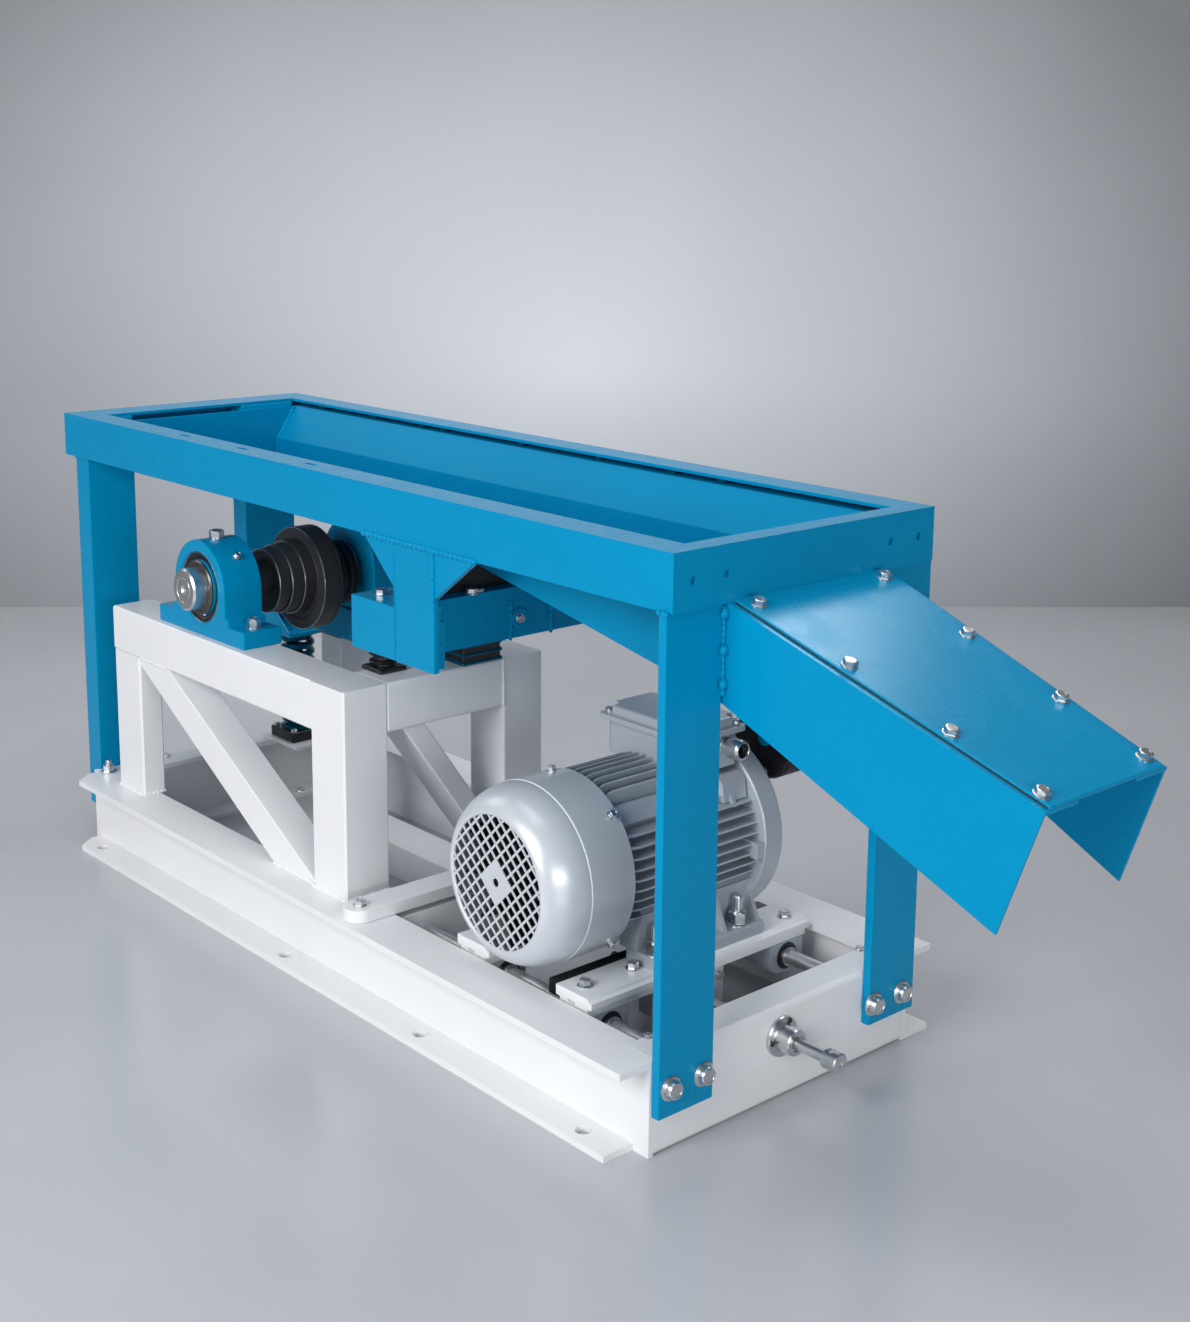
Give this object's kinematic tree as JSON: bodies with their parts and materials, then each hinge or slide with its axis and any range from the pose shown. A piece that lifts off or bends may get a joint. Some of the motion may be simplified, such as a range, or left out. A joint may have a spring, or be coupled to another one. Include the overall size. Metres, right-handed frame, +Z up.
{
  "type": "grading machine",
  "caption": "Linear grading machine: open sorting trough with a sloped outlet chute on a channel base, with an eccentric drive shaft, sprung supports and a motor on a slide.",
  "frame": {"origin": "centre of the outer rectangle of anchor bolt holes, on the floor plane", "axes": "+X along the trough towards the outlet chute, +Y to the side away from the fan cover, +Z up"},
  "size_m": [2.011, 0.6, 0.775],
  "materials": {
    "blue_paint": "gloss",
    "white_paint": "gloss",
    "motor_paint": "satin",
    "black_paint": "satin",
    "bright_steel": "satin",
    "black_rubber": "matte"
  },
  "bodies": {
    "base": {"side_beams": "white_paint", "end_channels": "white_paint", "tie_bar": "white_paint", "rod_cross_member": "white_paint", "low_frame": "white_paint", "near_posts": "white_paint", "near_top_rail": "white_paint", "post_seat": "white_paint", "far_posts": "white_paint", "front_end_rail": "white_paint", "near_diagonal": "white_paint", "front_end_brace": "white_paint", "spring_seat": "white_paint", "far_top_rail": "blue_paint", "bearings": "blue_paint", "rim_sides": "blue_paint", "rim_ends": "blue_paint", "front_legs": "blue_paint", "rear_leg": "blue_paint", "sprung_leg": "blue_paint", "trough_walls": "blue_paint", "trough_floor": "blue_paint", "trough_rear_sheet": "blue_paint", "chute_walls": "blue_paint", "chute_lid": "blue_paint", "hangers": "blue_paint", "cross_beam": "blue_paint", "drum_hanger": "blue_paint", "screw_collar": "motor_paint", "coil_spring": "black_paint", "guide_rods": "bright_steel", "bellows_mounts": "black_rubber", "laminated_pad": "black_rubber", "beam_packing": "black_rubber", "spring_rubber_base": "black_rubber", "ribbed_drum": "black_rubber"},
    "rotor": {"drive_shaft": "bright_steel", "stepped_pulley": "black_paint", "flywheel": "black_paint", "grooved_sheave": "black_paint"},
    "motor": {"motor_body": "motor_paint", "fan_cover": "motor_paint", "drive_end_shield": "motor_paint", "motor_shaft_end": "bright_steel", "terminal_box": "motor_paint", "terminal_lid": "motor_paint", "slide_bars": "white_paint", "bush_blocks": "motor_paint", "nut_block": "motor_paint", "damper_strip": "black_rubber"},
    "screw": {"lead_screw": "bright_steel"}
  },
  "joints": [
    {"name": "drive_shaft_spin", "type": "hinge", "parent": "base", "child": "rotor", "pos_m": [-0.3525, 0, 0.5344], "axis": [0, 1, 0], "continuous": true},
    {"name": "motor_slide", "type": "slide", "parent": "base", "child": "motor", "axis": [1, 0, 0], "range_m": [-0.03, 0.03]},
    {"name": "screw_turn", "type": "hinge", "parent": "base", "child": "screw", "pos_m": [0.7475, -0.012, 0.089], "axis": [1, 0, 0], "range_deg": [-2701, 2701]}
  ],
  "couplings": [
    {"joint": "screw_turn", "follows": "motor_slide", "rad_per_m": 1570.8}
  ]
}
